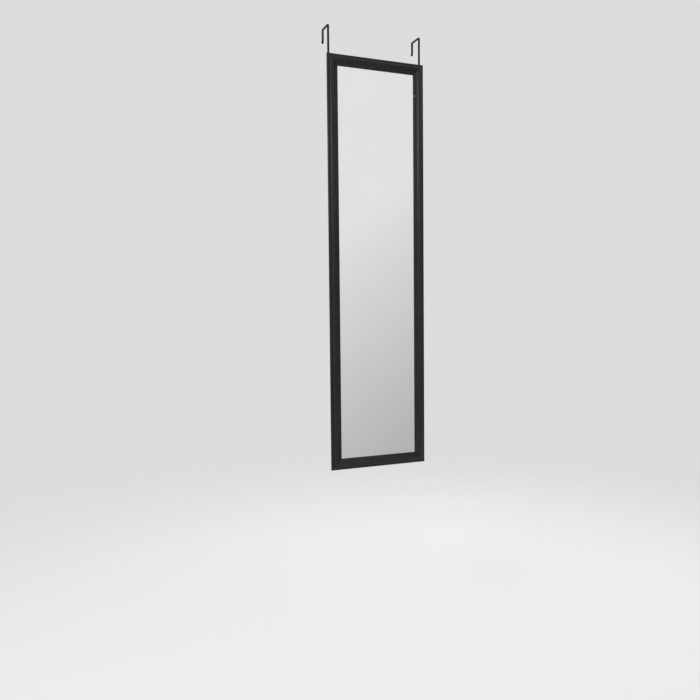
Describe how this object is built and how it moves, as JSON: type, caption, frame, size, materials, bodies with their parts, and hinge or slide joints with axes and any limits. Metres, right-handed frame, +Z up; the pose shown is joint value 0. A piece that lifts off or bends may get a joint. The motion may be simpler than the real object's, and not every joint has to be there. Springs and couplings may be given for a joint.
{
  "type": "over-the-door mirror",
  "caption": "Tall narrow mirror in a black mitred moulding, hung on a door by slim over-door hooks whose slotted feet slide on the frame's back to set the height.",
  "frame": {"origin": "on the front edge of the door's top, midway between the two hooks; the underside of the hooks' pads is z = 0 and the door's front face is y = 0", "axes": "+Z up, +Y from the mirror's face into the door, +X to the right seen from the front"},
  "size_m": [0.32, 0.0703, 1.3365],
  "materials": {
    "frame_plastic": "satin",
    "mirror": "polished",
    "card": "matte",
    "hardboard": "matte",
    "bare_steel": "satin",
    "zinc_steel": "satin",
    "black_steel": "satin",
    "pad_foam": "matte",
    "bumper_rubber": "matte"
  },
  "bodies": {
    "mirror": {"left_stile": "frame_plastic", "right_stile": "frame_plastic", "top_rail": "frame_plastic", "bottom_rail": "frame_plastic", "corner_v_nails": "bare_steel", "mirror_glass": "mirror", "card_sheet": "card", "backing_board": "hardboard", "glazier_points": "bare_steel", "left_clamp_screws": "zinc_steel", "right_clamp_screws": "zinc_steel", "left_clamp_washers": "zinc_steel", "right_clamp_washers": "zinc_steel", "left_bumper": "bumper_rubber", "right_bumper": "bumper_rubber"},
    "left_hanger": {"left_hook": "black_steel", "left_hook_pad": "pad_foam"},
    "right_hanger": {"right_hook": "black_steel", "right_hook_pad": "pad_foam"}
  },
  "joints": [
    {"name": "left_hook_slide", "type": "slide", "parent": "mirror", "child": "left_hanger", "axis": [0, 0, 1], "range_m": [-0.03, 0.03]},
    {"name": "right_hook_slide", "type": "slide", "parent": "mirror", "child": "right_hanger", "axis": [0, 0, 1], "range_m": [-0.03, 0.03]}
  ]
}
